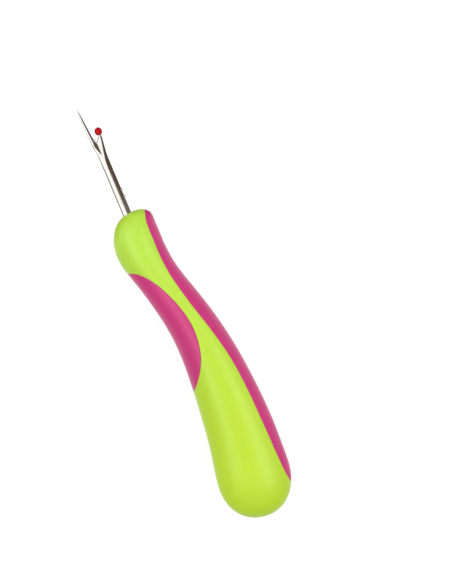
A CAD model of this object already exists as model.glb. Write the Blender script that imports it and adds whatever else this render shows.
import math

import bmesh
import bpy
from mathutils import Matrix, Vector, kdtree
from mathutils.geometry import delaunay_2d_cdt

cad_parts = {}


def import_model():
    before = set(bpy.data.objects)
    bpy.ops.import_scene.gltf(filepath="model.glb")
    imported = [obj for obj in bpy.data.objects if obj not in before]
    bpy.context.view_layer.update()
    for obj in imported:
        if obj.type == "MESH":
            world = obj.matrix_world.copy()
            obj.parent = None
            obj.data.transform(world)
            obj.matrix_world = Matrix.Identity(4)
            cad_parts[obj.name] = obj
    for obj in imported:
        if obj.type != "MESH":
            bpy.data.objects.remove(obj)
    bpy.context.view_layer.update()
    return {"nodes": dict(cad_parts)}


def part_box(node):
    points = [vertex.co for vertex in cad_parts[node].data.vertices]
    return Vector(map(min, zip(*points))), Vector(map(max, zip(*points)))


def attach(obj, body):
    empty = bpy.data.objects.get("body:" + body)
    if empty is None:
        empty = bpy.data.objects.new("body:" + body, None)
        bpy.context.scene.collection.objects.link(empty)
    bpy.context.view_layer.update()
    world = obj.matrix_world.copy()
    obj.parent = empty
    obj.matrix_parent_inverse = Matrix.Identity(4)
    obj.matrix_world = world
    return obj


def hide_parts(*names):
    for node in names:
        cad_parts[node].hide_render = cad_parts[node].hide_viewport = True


# Seam ripper lying on its broad side. Everything below is worked out in millimetres in the tool's own
# frame (shank on the X axis with the tip towards +X, nose of the handle at x = 0, finger side towards
# +Y, mid-plane at z = 0) and moved to the row frame by ORIGIN when a mesh is made.

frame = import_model()
MM = 0.001

# ---- the tool's own frame, found from the guard ball ----
BALL_CENTRE = Vector((28.0, -1.86, 0.0))
ball_low, ball_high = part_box("guard_ball")
ORIGIN = (ball_low + ball_high) / 2 - BALL_CENTRE * MM

# ---- handle form: (x, finger side, back side, half thickness) between two domed ends ----
HANDLE_LENGTH = 107.8
NOSE_Y = -1.7
BUTT_Y = -4.9
STATIONS = [
    (-12.0, 8.45, -7.45, 7.6),
    (-16.0, 8.0, -7.65, 7.6),
    (-20.0, 6.85, -8.1, 7.45),
    (-25.0, 5.4, -9.25, 7.4),
    (-30.0, 4.2, -10.75, 7.6),
    (-37.5, 2.7, -12.85, 8.0),
    (-45.0, 1.9, -14.58, 8.35),
    (-52.5, 1.88, -15.88, 8.6),
    (-60.0, 2.37, -16.76, 8.75),
    (-70.0, 3.36, -17.52, 8.85),
    (-80.0, 4.65, -17.78, 8.85),
    (-87.5, 6.08, -17.52, 8.75),
    (-93.0, 7.0, -17.25, 8.55),
]
# Domed ends: (reach, power, half size) on the finger side, the back side and through the thickness.
NOSE_DOME = ((12.5, 2.15, 10.15), (4.0, 2.3, 5.8), (9.5, 2.2, 7.6))
BUTT_DOME = ((12.5, 2.1, 12.0), (16.0, 2.1, 12.4), (16.0, 2.1, 8.6))
NOSE_DEPTH = 12.0
BUTT_DEPTH = 7.7
# Depths behind each end at which the body's curve is tied to the dome there.
NOSE_TIES = (8.0, 10.0)
BUTT_TIES = (11.0, BUTT_DEPTH, 5.0)
SLOPE_REACH = 0.05

# ---- soft inlays: outlines on the broad face, as (x, y) ----
BELLY_OUTLINE = [
    (-17.4, 11.0), (-18.2, 7.4), (-20.0, 3.95), (-25.0, 0.0), (-32.5, -3.45), (-38.0, -5.0),
    (-43.5, -5.6), (-50.0, -4.75), (-55.0, -2.8), (-60.0, 0.8), (-62.0, 3.25), (-63.2, 7.0),
]
BACK_OUTLINE = [
    (1.0, -6.0), (-2.0, -5.6), (-5.0, -4.88), (-11.0, -4.75), (-18.0, -4.78), (-25.0, -5.6),
    (-35.0, -7.87), (-45.0, -10.6), (-55.0, -12.8), (-66.0, -13.97), (-80.0, -14.45), (-93.0, -14.75),
    (-98.5, -15.1), (-101.5, -15.8), (-104.0, -18.0),
]
POCKET_DEPTH = 1.8
LIP_RADIUS = 0.16
PAD_SINK = 0.04
PAD_SINK_WIDTH = 1.6

# ---- fork: ovals (x, centre y, half width, half thickness) of the two prongs; on the tang, shank and
# flattened blank a fifth value is the power of the oval, 2 for a true one and more for a squarer one ----
SHAFT = [
    (-30.0, 0.0, 1.5, 0.6, 2.0),
    (-29.6, 0.0, 2.0, 0.75, 2.0),
    (-28.0, 0.0, 2.1, 0.75, 2.0),
    (-24.0, 0.0, 2.1, 0.75, 2.0),
    (-22.5, 0.0, 1.6, 1.2, 2.0),
    (-21.0, 0.0, 1.44, 1.4, 2.0),
    (13.0, 0.0, 1.44, 1.4, 2.0),
    (14.0, 0.0, 1.44, 1.4, 2.0),
    (18.0, 0.0, 1.45, 1.25, 2.1),
    (20.8, -0.02, 1.49, 1.07, 3.6),
    (24.0, -0.11, 1.8, 0.71, 5.0),
    (27.7, -0.2, 2.1, 0.4, 5.0),
]
STRAIGHT = (-20.8, 12.8)
LONG_PRONG = [
    (21.0, 0.72, 0.62, 0.8),
    (24.0, 1.22, 0.62, 0.6),
    (27.0, 1.43, 0.62, 0.55),
    (30.0, 1.63, 0.55, 0.5),
    (33.0, 1.81, 0.46, 0.42),
    (35.2, 1.87, 0.32, 0.3),
    (36.6, 1.9, 0.19, 0.19),
    (37.5, 2.0, 0.07, 0.07),
]
SHORT_PRONG = [
    (21.0, -0.72, 0.58, 0.8),
    (24.0, -1.28, 0.56, 0.63),
    (26.4, -1.65, 0.53, 0.52),
    (27.4, -1.79, 0.34, 0.34),
    (28.4, -1.92, 0.3, 0.3),
]
# V cuts in both faces: (x, y, height of the floor) at two ends, and the rise of the two walls.
GRIND = ((19.4, 0.07, 1.31), (28.2, 0.12, -0.4), (0.2, 0.22))
HONE = ((23.87, 0.17, 0.791), (28.33, 0.17, -2.331), (3.2, 0.9))
CUT_WIDTH = 5.0
NOTCH_RADIUS = 0.5
NOTCH_X = -26.0
NOTCH_Y = 2.1
NOTCH_REACH = 3.0  # how far the notches' cutter reaches above and below the mid-plane
PIP_SIZE = (0.42, 0.3, 0.7)  # half length, half width and half height
PIPS_X = (5.5, 7.9)
PIP_Y = -1.43
# Wedge of the web that the hone has dulled: where it starts, its middle, its spread on the finger side and
# on the back side, how far it reaches from the mid-plane and how softly its edge fades.
DULL_START_X = 24.35
DULL_Y = 0.17
DULL_SPREAD = (0.5, 0.78)
DULL_HEIGHT = 0.32
DULL_FADE = 0.03
BEAD_CENTRE = (28.12, -1.75)
BEAD_HALF_LENGTH = 1.36
BEAD_HALF_WIDTH = 1.22
BEAD_LEAN = -8.0
SHAFT_STEP = 0.25
PRONG_STEP = 0.2
OVAL_SEGMENTS = 120
PIN_SEGMENTS = 64
BALL_ROWS = 48
# Edges that turn by more than this many degrees stay sharp.
FORK_SHARP = 7.5
BEAD_SHARP = 60

# ---- unrolled form that the meshes are laid out on: run along the handle, girth from the finger side ----
NOSE_TURN = 8.0
BUTT_TURN = 12.0
GIRTH = 8.2
CELL = 0.55
EDGE_STEP = 0.4
TRACE_STEP = 0.02
EDGE_OFFSETS = (0.03, 0.08, 0.18, 0.5)
LAYOUT_TOLERANCE = 1e-5

# ---- clean-up: points closer than a merge distance become one, and edges shorter than a sliver go ----
HANDLE_MERGE = 0.002
HANDLE_SLIVER = 0.0005
FORK_MERGE = 0.0005
FORK_SLIVER = 0.0002

# ---- looks ----
NOISE_SPAN = (0.3, 0.7)  # the part of the noise's range that the tones and roughness are spread over
LIME_PALE_X = (-75.0, -5.0)  # where the lime starts to turn paler towards the nose, and where it ends


# ================================ handle form ================================
def dome(depth, reach, power):
    """Share of full size at a depth behind the end of a rounded nose: 0 at the end, 1 at its reach."""
    left = max(0.0, 1.0 - depth / reach)
    return (1.0 - left**power) ** (1.0 / power)


def dome_sides(depth, centre_y, sides):
    """Finger side, back side and half thickness inside a domed end."""
    finger, back, half = (size * dome(depth, reach, power) for reach, power, size in sides)
    return centre_y + finger, centre_y - back, half


def through(keys, at):
    """Smooth curve through keys (position, values...), as a list of the values at a position."""
    index = next((i for i in range(1, len(keys) - 1) if keys[i][0] >= at), len(keys) - 1)
    a, b = keys[index - 1], keys[index]
    before = keys[max(index - 2, 0)]
    after = keys[min(index + 1, len(keys) - 1)]
    span = b[0] - a[0]
    t = (at - a[0]) / span
    values = []
    for column in range(1, len(a)):
        start = (b[column] - before[column]) / (b[0] - before[0]) * span
        end = (after[column] - a[column]) / (after[0] - a[0]) * span
        values.append(
            a[column] * (2 * t**3 - 3 * t**2 + 1) + start * (t**3 - 2 * t**2 + t)
            + b[column] * (3 * t**2 - 2 * t**3) + end * (t**3 - t**2)
        )
    return values


FORM_KEYS = sorted(
    STATIONS
    + [(-depth, *dome_sides(depth, NOSE_Y, NOSE_DOME)) for depth in NOSE_TIES]
    + [(depth - HANDLE_LENGTH, *dome_sides(depth, BUTT_Y, BUTT_DOME)) for depth in BUTT_TIES]
)


def sides(x):
    """Finger side, back side and half thickness of the handle at x."""
    if -x < NOSE_DEPTH:
        return dome_sides(-x, NOSE_Y, NOSE_DOME)
    if x + HANDLE_LENGTH < BUTT_DEPTH:
        return dome_sides(x + HANDLE_LENGTH, BUTT_Y, BUTT_DOME)
    return through(FORM_KEYS, x)


def x_at(run):
    """Position along the handle at a run from the nose; the run grows evenly over both domes."""
    if run < NOSE_TURN * math.pi / 2:
        return -NOSE_TURN * (1 - math.cos(run / NOSE_TURN))
    left = RUN_LENGTH - run
    if left < BUTT_TURN * math.pi / 2:
        return -HANDLE_LENGTH + BUTT_TURN * (1 - math.cos(left / BUTT_TURN))
    return -NOSE_TURN - (run - NOSE_TURN * math.pi / 2)


def run_at(x):
    """Run from the nose at a position along the handle."""
    if -x < NOSE_TURN:
        return NOSE_TURN * math.acos(1 + x / NOSE_TURN)
    depth = x + HANDLE_LENGTH
    if depth < BUTT_TURN:
        return RUN_LENGTH - BUTT_TURN * math.acos(1 - depth / BUTT_TURN)
    return NOSE_TURN * math.pi / 2 - NOSE_TURN - x


RUN_LENGTH = HANDLE_LENGTH + (NOSE_TURN + BUTT_TURN) * (math.pi / 2 - 1)


def form_point(run, girth):
    """Point on the handle's outer form."""
    x = x_at(run)
    finger, back, half = sides(x)
    turn = girth / GIRTH
    return Vector((x, (finger + back) / 2 + (finger - back) / 2 * math.cos(turn), half * math.sin(turn)))


def form_normal(run, girth):
    """Outward direction of the handle's outer form."""
    run = min(max(run, 2 * SLOPE_REACH), RUN_LENGTH - 2 * SLOPE_REACH)
    along = form_point(run + SLOPE_REACH, girth) - form_point(run - SLOPE_REACH, girth)
    around = form_point(run, girth + SLOPE_REACH) - form_point(run, girth - SLOPE_REACH)
    return along.cross(around).normalized()


# ================================ inlay edges ================================
def inlay_edge(outline):
    """The part of an inlay's outline that lies on the handle, evenly spaced on the unrolled form."""
    keys = []
    walked = 0.0
    for index, point in enumerate(outline):
        if index:
            walked += math.dist(point, outline[index - 1])
        keys.append((walked, *point))
    raw = []
    for step in range(int(walked / TRACE_STEP)):
        x, y = through(keys, step * TRACE_STEP)
        if x >= 0:
            continue
        finger, back, _ = sides(x)
        share = (y - (finger + back) / 2) / ((finger - back) / 2)
        if abs(share) < 1:
            raw.append(Vector((run_at(x), GIRTH * math.acos(share))))
    rim = 0.0 if raw[0].y < GIRTH else GIRTH * math.pi
    raw[0].y = rim
    raw[-1].y = rim
    length = sum((b - a).length for a, b in zip(raw, raw[1:]))
    count = round(length / EDGE_STEP)
    edge = [raw[0]]
    walked = 0.0
    for a, b in zip(raw, raw[1:]):
        walked += (b - a).length
        if walked >= length * len(edge) / count:
            edge.append(b)
    edge[-1] = raw[-1]
    return edge


def offset_edge(edge, distance):
    """The edge moved sideways on the unrolled form; its two ends stay on the rim of the half."""
    moved = []
    for index, point in enumerate(edge):
        ahead = edge[min(index + 1, len(edge) - 1)]
        behind = edge[max(index - 1, 0)]
        along = (ahead - behind).normalized()
        if index in (0, len(edge) - 1):
            along = Vector((0, 1 if along.y > 0 else -1))
        moved.append(point + Vector((-along.y, along.x)) * distance)
    return moved


def unrolled_layout():
    """Triangles on the unrolled upper half, with the inlay that each one is in (None on the hard body)."""
    edges = [inlay_edge(BELLY_OUTLINE), inlay_edge(BACK_OUTLINE)]
    points = []
    outlines = []
    for edge in edges:
        outline = list(range(len(points), len(points) + len(edge)))
        points += edge
        area = sum(points[a].cross(points[b]) for a, b in zip(outline, outline[1:] + outline[:1]))
        outlines.append(outline if area > 0 else outline[::-1])
    near = kdtree.KDTree(len(points))
    for index, point in enumerate(points):
        near.insert(point.to_3d(), index)
    near.balance()
    for edge in edges:
        for distance in EDGE_OFFSETS:
            points += offset_edge(edge, distance) + offset_edge(edge, -distance)
    columns = round(RUN_LENGTH / CELL)
    rows = round(GIRTH * math.pi / CELL)
    for column in range(columns + 1):
        for row in range(rows + 1):
            point = Vector((RUN_LENGTH * column / columns, GIRTH * math.pi * row / rows))
            if near.find(point.to_3d())[2] > EDGE_OFFSETS[-1] + CELL / 2:
                points.append(point)
    top = GIRTH * math.pi
    points = [Vector((min(max(p.x, 0.0), RUN_LENGTH), min(max(p.y, 0.0), top))) for p in points]
    found, _, triangles, _, _, owners = delaunay_2d_cdt(points, [], outlines, 0, LAYOUT_TOLERANCE)
    inlays = [owner[0] if owner else None for owner in owners]
    distances = [near.find(point.to_3d())[2] for point in found]
    return found, triangles, inlays, distances


def lip_drop(distance, radius):
    """How far a rounded edge lies below the form at a distance inside the edge."""
    left = max(0.0, radius - distance)
    return radius - math.sqrt(radius**2 - left**2)


# ================================ handle meshes ================================
def closed_mesh(name, vertices, faces):
    """Object from the upper half's vertices (millimetres) and faces, mirrored below and closed."""
    mesh = bpy.data.meshes.new(name)
    work = bmesh.new()
    for flip in (1, -1):
        made = [work.verts.new(ORIGIN + Vector((v.x, v.y, v.z * flip)) * MM) for v in vertices]
        for face in faces:
            corners = [made[i] for i in (face if flip == 1 else reversed(face))]
            work.faces.new(corners)
    bmesh.ops.remove_doubles(work, verts=work.verts, dist=HANDLE_MERGE * MM)
    bmesh.ops.dissolve_degenerate(work, edges=work.edges, dist=HANDLE_SLIVER * MM)
    bmesh.ops.recalc_face_normals(work, faces=work.faces)
    for face in work.faces:
        face.smooth = True
    open_edges = sum(1 for edge in work.edges if not edge.is_manifold)
    print(name, len(work.faces), "faces,", open_edges, "open edges")
    work.to_mesh(mesh)
    work.free()
    obj = bpy.data.objects.new(name, mesh)
    bpy.context.scene.collection.objects.link(obj)
    return obj


def handle_piece(name, layout, inlay):
    """One shot of the handle: the hard body with its pockets (inlay None), or the inlay in one pocket."""
    found, triangles, inlays, distances = layout
    vertices = []
    numbers = {}

    def vertex(index, level):
        if (index, level) not in numbers:
            point = form_point(*found[index])
            normal = form_normal(*found[index])
            if level == "floor":
                sink = POCKET_DEPTH
            elif inlay is None:
                sink = lip_drop(distances[index], LIP_RADIUS)
            else:
                fade = max(0.0, 1 - distances[index] / PAD_SINK_WIDTH)
                sink = lip_drop(distances[index], LIP_RADIUS) + PAD_SINK * fade * fade
            place = point - normal * sink
            if found[index].y in (0.0, GIRTH * math.pi):
                place.z = 0.0
            numbers[index, level] = len(vertices)
            vertices.append(place)
        return numbers[index, level]

    faces = []
    rims = []
    for corners, owner in zip(triangles, inlays):
        own = owner == inlay
        if own or inlay is None:
            level = "outer" if own else "floor"
            faces.append([vertex(i, level) for i in corners])
        if own and inlay is not None:
            faces.append([vertex(i, "floor") for i in reversed(corners)])
        if own:
            rims += zip(corners, corners[1:] + corners[:1])
    others = {
        (a, b) for corners, owner in zip(triangles, inlays) if owner != inlay
        for a, b in zip(corners, corners[1:] + corners[:1])
    }
    for a, b in rims:
        if (b, a) in others:
            faces.append([vertex(b, "outer"), vertex(a, "outer"), vertex(a, "floor"), vertex(b, "floor")])
    return closed_mesh(name, vertices, faces)


# ================================ fork and bead meshes ================================
def solid(name, vertices, faces):
    """Closed object in millimetres, still in the tool's own frame."""
    mesh = bpy.data.meshes.new(name)
    mesh.from_pydata(vertices, [], faces)
    work = bmesh.new()
    work.from_mesh(mesh)
    bmesh.ops.recalc_face_normals(work, faces=work.faces)
    work.to_mesh(mesh)
    work.free()
    obj = bpy.data.objects.new(name, mesh)
    bpy.context.scene.collection.objects.link(obj)
    return obj


def rings_solid(name, rings):
    """Closed object through rings of points."""
    count = len(rings[0])
    vertices = [point for ring in rings for point in ring]
    faces = [tuple(reversed(range(count))), tuple(range(len(vertices) - count, len(vertices)))]
    for row in range(len(rings) - 1):
        for i in range(count):
            after = (i + 1) % count
            faces.append((row * count + i, row * count + after,
                          (row + 1) * count + after, (row + 1) * count + i))
    return solid(name, vertices, faces)


def rounded(value, power):
    """Sine or cosine bent from a true oval towards a squarer one."""
    return math.copysign(abs(value) ** (2 / power), value)


def oval(x, y, half_width, half_thickness, power=2.0):
    """Ring of points round an oval across the tool."""
    turns = [2 * math.pi * (i + 0.5) / OVAL_SEGMENTS for i in range(OVAL_SEGMENTS)]
    return [
        (x, y + half_width * rounded(math.cos(t), power), half_thickness * rounded(math.sin(t), power))
        for t in turns
    ]


def oval_run(name, keys, step):
    """Smooth run of ovals through keys; the straight part of the shank has none between its ends."""
    count = round((keys[-1][0] - keys[0][0]) / step)
    positions = [keys[0][0] + (keys[-1][0] - keys[0][0]) * i / count for i in range(count + 1)]
    bends = [x for x in positions if not STRAIGHT[0] < x < STRAIGHT[1]]
    return rings_solid(name, [oval(x, *through(keys, x)) for x in bends])


def vee(name, start, end, rises, face):
    """V-shaped cutter for the upper (face 1) or lower (face -1) side of the fork."""
    rings = []
    for x, y, floor_z in (start, end):
        corners = [(0.0, 0.0), (CUT_WIDTH, rises[0] * CUT_WIDTH), (-CUT_WIDTH, rises[1] * CUT_WIDTH)]
        ring = [(x, y + across, (floor_z + rise) * face) for across, rise in corners]
        rings.append(ring if face == 1 else ring[::-1])
    return rings_solid(name, rings)


def pin(name, x, y, radius):
    """Upright round cutter."""
    turns = [2 * math.pi * i / PIN_SEGMENTS for i in range(PIN_SEGMENTS)]
    return rings_solid(name, [
        [(x + radius * math.cos(t), y + radius * math.sin(t), z) for t in turns]
        for z in (-NOTCH_REACH, NOTCH_REACH)
    ])


def ball(name, x, y, half_length, half_width, half_height, lean=0.0):
    """Smooth ball with three half sizes, leaning in the plane of the tool."""
    turn = Matrix.Rotation(math.radians(lean), 4, "Z")
    rings = []
    for row in range(1, BALL_ROWS):
        angle = math.pi * row / BALL_ROWS
        ring = oval(-half_length * math.cos(angle), 0.0, half_width * math.sin(angle),
                    half_height * math.sin(angle))
        rings.append([turn @ Vector(point) + Vector((x, y, 0)) for point in ring])
    return rings_solid(name, rings)


def combine(obj, tool, operation):
    """Joins a tool to an object, or cuts it away, and discards the tool."""
    modifier = obj.modifiers.new("combine", "BOOLEAN")
    modifier.operation = operation
    modifier.solver = "MANIFOLD"
    modifier.object = tool
    made = bpy.data.meshes.new_from_object(obj.evaluated_get(bpy.context.evaluated_depsgraph_get()))
    obj.modifiers.clear()
    obj.data = made
    bpy.data.objects.remove(tool)


def settle(obj, sharp_degrees):
    """Moves a finished solid to the row frame and gives it smooth faces with sharp creases."""
    work = bmesh.new()
    work.from_mesh(obj.data)
    bmesh.ops.remove_doubles(work, verts=work.verts, dist=FORK_MERGE)
    bmesh.ops.dissolve_degenerate(work, edges=work.edges, dist=FORK_SLIVER)
    bmesh.ops.triangulate(work, faces=work.faces)
    bmesh.ops.recalc_face_normals(work, faces=work.faces)
    for vertex in work.verts:
        vertex.co = ORIGIN + vertex.co * MM
    for face in work.faces:
        face.smooth = True
    open_edges = sum(1 for edge in work.edges if not edge.is_manifold)
    print(obj.name, len(work.faces), "faces,", open_edges, "open edges")
    work.to_mesh(obj.data)
    work.free()
    obj.data.set_sharp_from_angle(angle=math.radians(sharp_degrees))


def steel_fork():
    """Tang, shank, two prongs and the ground web between them, one piece of steel."""
    obj = oval_run("steel_fork", SHAFT, SHAFT_STEP)
    for face in (1, -1):
        cutter = vee("cutter", *GRIND, face)
        combine(cutter, vee("hone", *HONE, face), "UNION")
        combine(obj, cutter, "DIFFERENCE")
    for keys in (LONG_PRONG, SHORT_PRONG):
        combine(obj, oval_run("prong", keys, PRONG_STEP), "UNION")
    for x in PIPS_X:
        combine(obj, ball("pip", x, PIP_Y, *PIP_SIZE), "UNION")
    for side in (1, -1):
        combine(obj, pin("notch", NOTCH_X, NOTCH_Y * side, NOTCH_RADIUS), "DIFFERENCE")
    settle(obj, FORK_SHARP)
    return obj


def guard_bead():
    """Red bead moulded over the pin of the short prong."""
    obj = ball("guard_bead", *BEAD_CENTRE, BEAD_HALF_LENGTH, BEAD_HALF_WIDTH, BEAD_HALF_WIDTH, BEAD_LEAN)
    settle(obj, BEAD_SHARP)
    return obj


# ================================ materials ================================
def shader(name):
    """A new material with its Principled shader, node tree and object coordinates."""
    material = bpy.data.materials.new(name)
    material.use_nodes = True
    tree = material.node_tree
    principled = tree.nodes["Principled BSDF"]
    coordinates = tree.nodes.new("ShaderNodeTexCoord")
    return material, tree, principled, coordinates.outputs["Object"]


def noise(tree, coordinates, scale, detail=2.0, stretch=(1, 1, 1)):
    """Noise in object space; scale is in features per metre."""
    mapping = tree.nodes.new("ShaderNodeMapping")
    mapping.inputs["Scale"].default_value = stretch
    texture = tree.nodes.new("ShaderNodeTexNoise")
    texture.inputs["Scale"].default_value = scale
    texture.inputs["Detail"].default_value = detail
    tree.links.new(coordinates, mapping.inputs["Vector"])
    tree.links.new(mapping.outputs["Vector"], texture.inputs["Vector"])
    return texture.outputs["Fac"]


def spread(tree, value, low, high):
    """Maps noise round its middle to a range."""
    node = tree.nodes.new("ShaderNodeMapRange")
    node.inputs["From Min"].default_value = NOISE_SPAN[0]
    node.inputs["From Max"].default_value = NOISE_SPAN[1]
    node.inputs["To Min"].default_value = low
    node.inputs["To Max"].default_value = high
    tree.links.new(value, node.inputs["Value"])
    return node.outputs["Result"]


def two_tone(tree, value, first, second):
    """Colour that drifts between two tones with the noise."""
    node = tree.nodes.new("ShaderNodeMix")
    node.data_type = "RGBA"
    node.inputs["A"].default_value = (*first, 1)
    node.inputs["B"].default_value = (*second, 1)
    tree.links.new(spread(tree, value, 0.0, 1.0), node.inputs["Factor"])
    return node.outputs["Result"]


def bump(tree, principled, value, height):
    """Relief of the given height in metres on the shader."""
    node = tree.nodes.new("ShaderNodeBump")
    node.inputs["Strength"].default_value = 1.0
    node.inputs["Distance"].default_value = height
    tree.links.new(value, node.inputs["Height"])
    tree.links.new(node.outputs["Normal"], principled.inputs["Normal"])


def between(tree, value, start, end):
    """0 at start, 1 at end, straight between them."""
    node = tree.nodes.new("ShaderNodeMapRange")
    node.inputs["From Min"].default_value = start
    node.inputs["From Max"].default_value = end
    tree.links.new(value, node.inputs["Value"])
    return node.outputs["Result"]


def mixed(tree, factor, first, second):
    """Colour mixed from two others by a factor."""
    node = tree.nodes.new("ShaderNodeMix")
    node.data_type = "RGBA"
    tree.links.new(factor, node.inputs["Factor"])
    tree.links.new(first, node.inputs["A"])
    tree.links.new(second, node.inputs["B"])
    return node.outputs["Result"]


def axis(tree, place, name):
    """One of the three object coordinates."""
    node = tree.nodes.new("ShaderNodeSeparateXYZ")
    tree.links.new(place, node.inputs["Vector"])
    return node.outputs[name]


def math_node(tree, operation, first, second):
    """Sum, product or the like of two values, each a socket or a number."""
    node = tree.nodes.new("ShaderNodeMath")
    node.operation = operation
    for socket, value in zip(node.inputs, (first, second)):
        if isinstance(value, (int, float)):
            socket.default_value = value
        else:
            tree.links.new(value, socket)
    return node.outputs["Value"]


def lime_plastic():
    """Hard satin plastic, lime green, a little paler towards the nose, with a faint moulded grain."""
    material, tree, principled, place = shader("lime_plastic")
    drift = noise(tree, place, 45)
    low = two_tone(tree, drift, (0.362, 0.54, 0.01), (0.376, 0.555, 0.014))
    high = two_tone(tree, drift, (0.354, 0.562, 0.033), (0.368, 0.576, 0.039))
    start, end = (ORIGIN.x + x * MM for x in LIME_PALE_X)
    pale = between(tree, axis(tree, place, "X"), start, end)
    tree.links.new(mixed(tree, pale, low, high), principled.inputs["Base Color"])
    tree.links.new(spread(tree, noise(tree, place, 900), 0.34, 0.4), principled.inputs["Roughness"])
    bump(tree, principled, noise(tree, place, 2600, 3), 0.000004)
    principled.inputs["Specular IOR Level"].default_value = 0.45
    return material


def pink_rubber():
    """Soft matt plastic, raspberry pink, with a fine texture."""
    material, tree, principled, place = shader("pink_rubber")
    tone = two_tone(tree, noise(tree, place, 60), (0.44, 0.017, 0.136), (0.464, 0.02, 0.146))
    tree.links.new(tone, principled.inputs["Base Color"])
    principled.inputs["Specular IOR Level"].default_value = 0.42
    tree.links.new(spread(tree, noise(tree, place, 1200), 0.34, 0.4), principled.inputs["Roughness"])
    bump(tree, principled, noise(tree, place, 3200, 4), 0.000008)
    return material


def polished_steel():
    """Nickel-plated steel with drawn lines along the shank, and a duller ground knife in the crotch."""
    material, tree, principled, place = shader("polished_steel")
    x = math_node(tree, "SUBTRACT", axis(tree, place, "X"), ORIGIN.x + DULL_START_X * MM)
    y = math_node(tree, "SUBTRACT", axis(tree, place, "Y"), ORIGIN.y + DULL_Y * MM)
    z = math_node(tree, "SUBTRACT", axis(tree, place, "Z"), ORIGIN.z)
    finger_side = math_node(tree, "SUBTRACT", math_node(tree, "MULTIPLY", x, DULL_SPREAD[0]), y)
    back_side = math_node(tree, "ADD", math_node(tree, "MULTIPLY", x, DULL_SPREAD[1]), y)
    inside = math_node(tree, "MINIMUM", finger_side, back_side)
    low = math_node(tree, "LESS_THAN", math_node(tree, "ABSOLUTE", z, 0.0), DULL_HEIGHT * MM)
    honed = math_node(tree, "MULTIPLY", between(tree, inside, -DULL_FADE * MM, DULL_FADE * MM), low)
    plated = two_tone(tree, noise(tree, place, 300), (0.84, 0.82, 0.79), (0.92, 0.91, 0.89))
    ground = two_tone(tree, noise(tree, place, 5000), (0.8, 0.82, 0.82), (0.9, 0.91, 0.91))
    tree.links.new(mixed(tree, honed, plated, ground), principled.inputs["Base Color"])
    principled.inputs["Metallic"].default_value = 1.0
    lines = noise(tree, place, 3000, 3, (0.06, 1, 1))
    dull = math_node(tree, "MULTIPLY", honed, 0.4)
    roughness = math_node(tree, "ADD", spread(tree, lines, 0.05, 0.09), dull)
    tree.links.new(roughness, principled.inputs["Roughness"])
    bump(tree, principled, lines, 0.000001)
    return material


def red_plastic():
    """Glossy red plastic of the guard ball, clear enough to look deeper at its rim."""
    material, tree, principled, place = shader("red_plastic")
    drift = noise(tree, place, 700)
    middle = two_tone(tree, drift, (0.37, 0.004, 0.006), (0.43, 0.006, 0.009))
    rim = two_tone(tree, drift, (0.1, 0.001, 0.002), (0.12, 0.002, 0.003))
    facing = tree.nodes.new("ShaderNodeLayerWeight")
    facing.inputs["Blend"].default_value = 0.5
    deep = mixed(tree, facing.outputs["Facing"], middle, rim)
    tree.links.new(deep, principled.inputs["Base Color"])
    tree.links.new(spread(tree, noise(tree, place, 2500), 0.03, 0.06), principled.inputs["Roughness"])
    principled.inputs["Specular IOR Level"].default_value = 0.13
    return material


def core_plastic():
    """Off-white structural plastic of the hidden core."""
    material, tree, principled, place = shader("core_plastic")
    tone = two_tone(tree, noise(tree, place, 80), (0.62, 0.61, 0.57), (0.68, 0.67, 0.63))
    tree.links.new(tone, principled.inputs["Base Color"])
    tree.links.new(spread(tree, noise(tree, place, 1000), 0.45, 0.6), principled.inputs["Roughness"])
    return material


def paint(obj, material):
    """Gives the whole object one material."""
    obj.data.materials.clear()
    obj.data.materials.append(material)


# ================================ the object ================================
layout = unrolled_layout()
body_shot = handle_piece("lime_body", layout, None)
belly_shot = handle_piece("belly_inlay", layout, 0)
back_shot = handle_piece("back_inlay", layout, 1)
fork_piece = steel_fork()
bead = guard_bead()
for piece, node, slot in (
    (body_shot, "handle_body", "handle_lime"),
    (belly_shot, "belly_grip", "grip_pink"),
    (back_shot, "back_grip", "grip_pink"),
    (fork_piece, "fork", "fork_steel"),
    (bead, "guard_ball", "ball_red"),
):
    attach(piece, "root")
    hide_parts(node)

pink = pink_rubber()
paint(body_shot, lime_plastic())
paint(belly_shot, pink)
paint(back_shot, pink)
paint(fork_piece, polished_steel())
paint(bead, red_plastic())
paint(frame["nodes"]["handle_core"], core_plastic())

# ================================ studio ================================
TARGET = ORIGIN + Vector((-35.86, -19.74, 0.0)) * MM
TILT = math.radians(22.8)  # the shank leans this far left of upright in the view
VIEW_RIGHT = Vector((-math.sin(TILT), -math.cos(TILT), 0))
VIEW_UP = Vector((math.cos(TILT), -math.sin(TILT), 0))
LENS = 200.0
SENSOR = 36.0
VIEW_HEIGHT = 189.2 * MM
LIGHT_DISTANCE = 0.8
FLOOR_HALF = 4.0
# Round backdrop: (radius, height) in metres from the floor up.
BACKDROP_PROFILE = [
    (2.6, 0.0005), (3.0, 0.03), (3.4, 0.16), (3.7, 0.42), (3.85, 0.8), (3.9, 1.4), (3.9, 4.0),
]
BACKDROP_SEGMENTS = 96
# The cards' glow changes between these heights, and between this distance from the nose and the nose.
CARD_FADE_Z = (10.0, 150.0)
CARD_FADE_X = 10.0


def aimed(obj, place, target, up):
    """Puts a camera or light at a place, looking at a target."""
    back = (place - target).normalized()
    right = up.cross(back).normalized()
    rows = Matrix((right, back.cross(right), back)).transposed().to_4x4()
    obj.matrix_world = Matrix.Translation(place) @ rows
    bpy.context.scene.collection.objects.link(obj)


def camera():
    """Camera straight above the tool, far enough for a flat view."""
    data = bpy.data.cameras.new("camera")
    data.lens = LENS
    data.sensor_width = SENSOR
    obj = bpy.data.objects.new("camera", data)
    aimed(obj, TARGET + Vector((0, 0, VIEW_HEIGHT * LENS / SENSOR)), TARGET, VIEW_UP)
    bpy.context.scene.camera = obj


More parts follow.
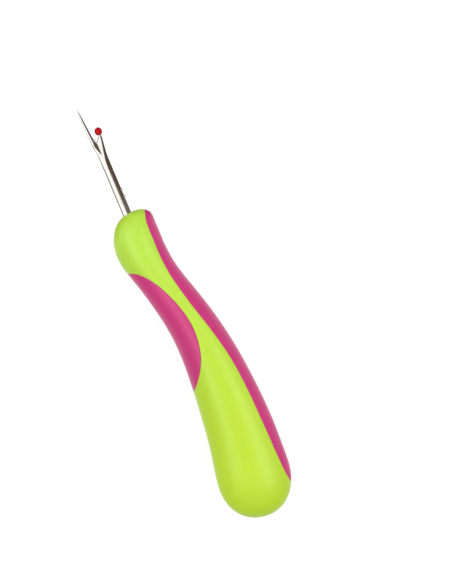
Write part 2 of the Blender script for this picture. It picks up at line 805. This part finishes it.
def softbox(name, turn, lean, size, power, shows=True):
    """Rectangular light, turned round the vertical from the view's right and leaning out by an angle."""
    data = bpy.data.lights.new(name, "AREA")
    data.shape = "RECTANGLE"
    data.size, data.size_y = size
    data.energy = power
    obj = bpy.data.objects.new(name, data)
    turn = math.radians(turn)
    lean = math.radians(lean)
    outward = VIEW_RIGHT * math.cos(turn) + VIEW_UP * math.sin(turn)
    place = TARGET + (outward * math.sin(lean) + Vector((0, 0, math.cos(lean)))) * LIGHT_DISTANCE
    aimed(obj, place, TARGET, VIEW_UP)
    obj.visible_glossy = shows


def paper(name, vertices, faces):
    """Pale studio paper with a glow of its own, which neither lights the object nor shows in it."""
    mesh = bpy.data.meshes.new(name)
    mesh.from_pydata(vertices, [], faces)
    for face in mesh.polygons:
        face.use_smooth = True
    obj = bpy.data.objects.new(name, mesh)
    bpy.context.scene.collection.objects.link(obj)
    material, tree, principled, place = shader(name)
    tone = two_tone(tree, noise(tree, place, 3), (0.2, 0.2, 0.2), (0.22, 0.22, 0.22))
    tree.links.new(tone, principled.inputs["Base Color"])
    principled.inputs["Roughness"].default_value = 0.8
    principled.inputs["Emission Color"].default_value = (1, 1, 1, 1)
    principled.inputs["Emission Strength"].default_value = 0.8
    paint(obj, material)
    obj.visible_diffuse = False
    obj.visible_glossy = False
    return obj


def backdrop():
    """Round wall of paper that rises out of the floor far behind the object."""
    count = BACKDROP_SEGMENTS
    vertices = [
        (radius * math.cos(2 * math.pi * i / count), radius * math.sin(2 * math.pi * i / count), z)
        for radius, z in BACKDROP_PROFILE for i in range(count)
    ]
    faces = [
        (row * count + i, (row + 1) * count + i, (row + 1) * count + (i + 1) % count,
         row * count + (i + 1) % count)
        for row in range(len(BACKDROP_PROFILE) - 1) for i in range(count)
    ]
    paper("backdrop", vertices, faces).visible_shadow = False


def world():
    """Studio walls as grey levels by height: bright below, dark at the horizon and pale overhead."""
    data = bpy.data.worlds.new("studio")
    data.use_nodes = True
    tree = data.node_tree
    coordinates = tree.nodes.new("ShaderNodeTexCoord")
    axes = tree.nodes.new("ShaderNodeSeparateXYZ")
    ramp = tree.nodes.new("ShaderNodeValToRGB")
    ramp.color_ramp.elements[0].color = (1.2, 1.2, 1.2, 1)
    ramp.color_ramp.elements[1].color = (0.78, 0.79, 0.81, 1)
    for height, grey in ((0.4, 0.8), (0.52, 0.28), (0.62, 0.3), (0.85, 0.7)):
        ramp.color_ramp.elements.new(height).color = (grey, grey, grey, 1)
    tree.links.new(coordinates.outputs["Generated"], axes.inputs["Vector"])
    tree.links.new(between(tree, axes.outputs["Z"], -1.0, 1.0), ramp.inputs["Fac"])
    tree.links.new(ramp.outputs["Color"], tree.nodes["Background"].inputs["Color"])
    bpy.context.scene.world = data


def reflector(name, sections, colours):
    """Card round the fork that only shows as a reflection in it; each section is (x, [(y, z), ...]).

    The three colours are the glow low down, the glow high up and the glow beside the nose of the handle.
    """
    mesh = bpy.data.meshes.new(name)
    corners = [ORIGIN + Vector((x, y, z)) * MM for x, profile in sections for y, z in profile]
    wide = len(sections[0][1])
    faces = [
        (row * wide + i, row * wide + i + 1, (row + 1) * wide + i + 1, (row + 1) * wide + i)
        for row in range(len(sections) - 1) for i in range(wide - 1)
    ]
    mesh.from_pydata(corners, [], faces)
    obj = bpy.data.objects.new(name, mesh)
    bpy.context.scene.collection.objects.link(obj)
    material, tree, principled, place = shader(name)
    tree.nodes.remove(principled)
    low, high, near_nose = (two_tone(tree, noise(tree, place, 20), tone, tone) for tone in colours)
    fade_low, fade_high = (ORIGIN.z + z * MM for z in CARD_FADE_Z)
    height = between(tree, axis(tree, place, "Z"), fade_low, fade_high)
    along = between(tree, axis(tree, place, "X"), ORIGIN.x + CARD_FADE_X * MM, ORIGIN.x)
    glow = tree.nodes.new("ShaderNodeEmission")
    tree.links.new(mixed(tree, along, mixed(tree, height, low, high), near_nose), glow.inputs["Color"])
    tree.links.new(glow.outputs["Emission"], tree.nodes["Material Output"].inputs["Surface"])
    paint(obj, material)
    obj.visible_camera = False
    obj.visible_diffuse = False
    obj.visible_shadow = False


camera()
softbox("softbox_left", 180, 33, (0.36, 0.6), 1.95)
softbox("softbox_right", 0, 33, (0.36, 0.6), 1.95)
softbox("fill_left", 180, 66, (0.5, 0.9), 2.1, shows=False)
softbox("fill_right", 0, 66, (0.5, 0.9), 2.1, shows=False)
softbox("fill_nose", 90, 60, (0.7, 0.5), 2.1, shows=False)
softbox("fill_butt", -90, 60, (0.7, 0.5), 0.85, shows=False)
paper("floor", [(x * FLOOR_HALF, y * FLOOR_HALF, 0) for x, y in ((-1, -1), (1, -1), (1, 1), (-1, 1))],
      [(0, 1, 2, 3)])
backdrop()
world()

# Cards, in the tool's own frame: outlines across the tool as (y, z), and their glows.
UNDER = [(31.0, -5.0), (30.0, -8.6), (-25.0, -8.6)]
WALL = UNDER + [(-25.0, 160.0)]
BESIDE = [(31.0, -5.0), (31.0, 160.0)]
STRIP = [(30.5, 33.0), (30.5, 47.0)]
OVER = [(-25.0, 160.0), (31.0, 160.0)]
UMBER = (0.098, 0.064, 0.046)
WHITE = (1.12, 1.1, 1.06)
BRIGHT = (12.0, 12.0, 12.0)
for card, start, end, outline, glows in (
    ("dark_card", -1.0, 20.0, WALL, [UMBER, (0.32, 0.27, 0.23), (0.19, 0.145, 0.115)]),
    ("dark_card_front", 20.0, 75.0, WALL, [(0.05, 0.032, 0.024), (0.2, 0.155, 0.125), UMBER]),
    ("white_card", -1.0, 75.0, BESIDE, [WHITE] * 3),
    ("catch_light", 12.0, 21.0, STRIP, [BRIGHT] * 3),
    ("white_roof", 37.0, 110.0, OVER, [WHITE] * 3),
):
    reflector(card, [(start, outline), (end, outline)], glows)
bpy.context.scene.view_settings.view_transform = "Standard"
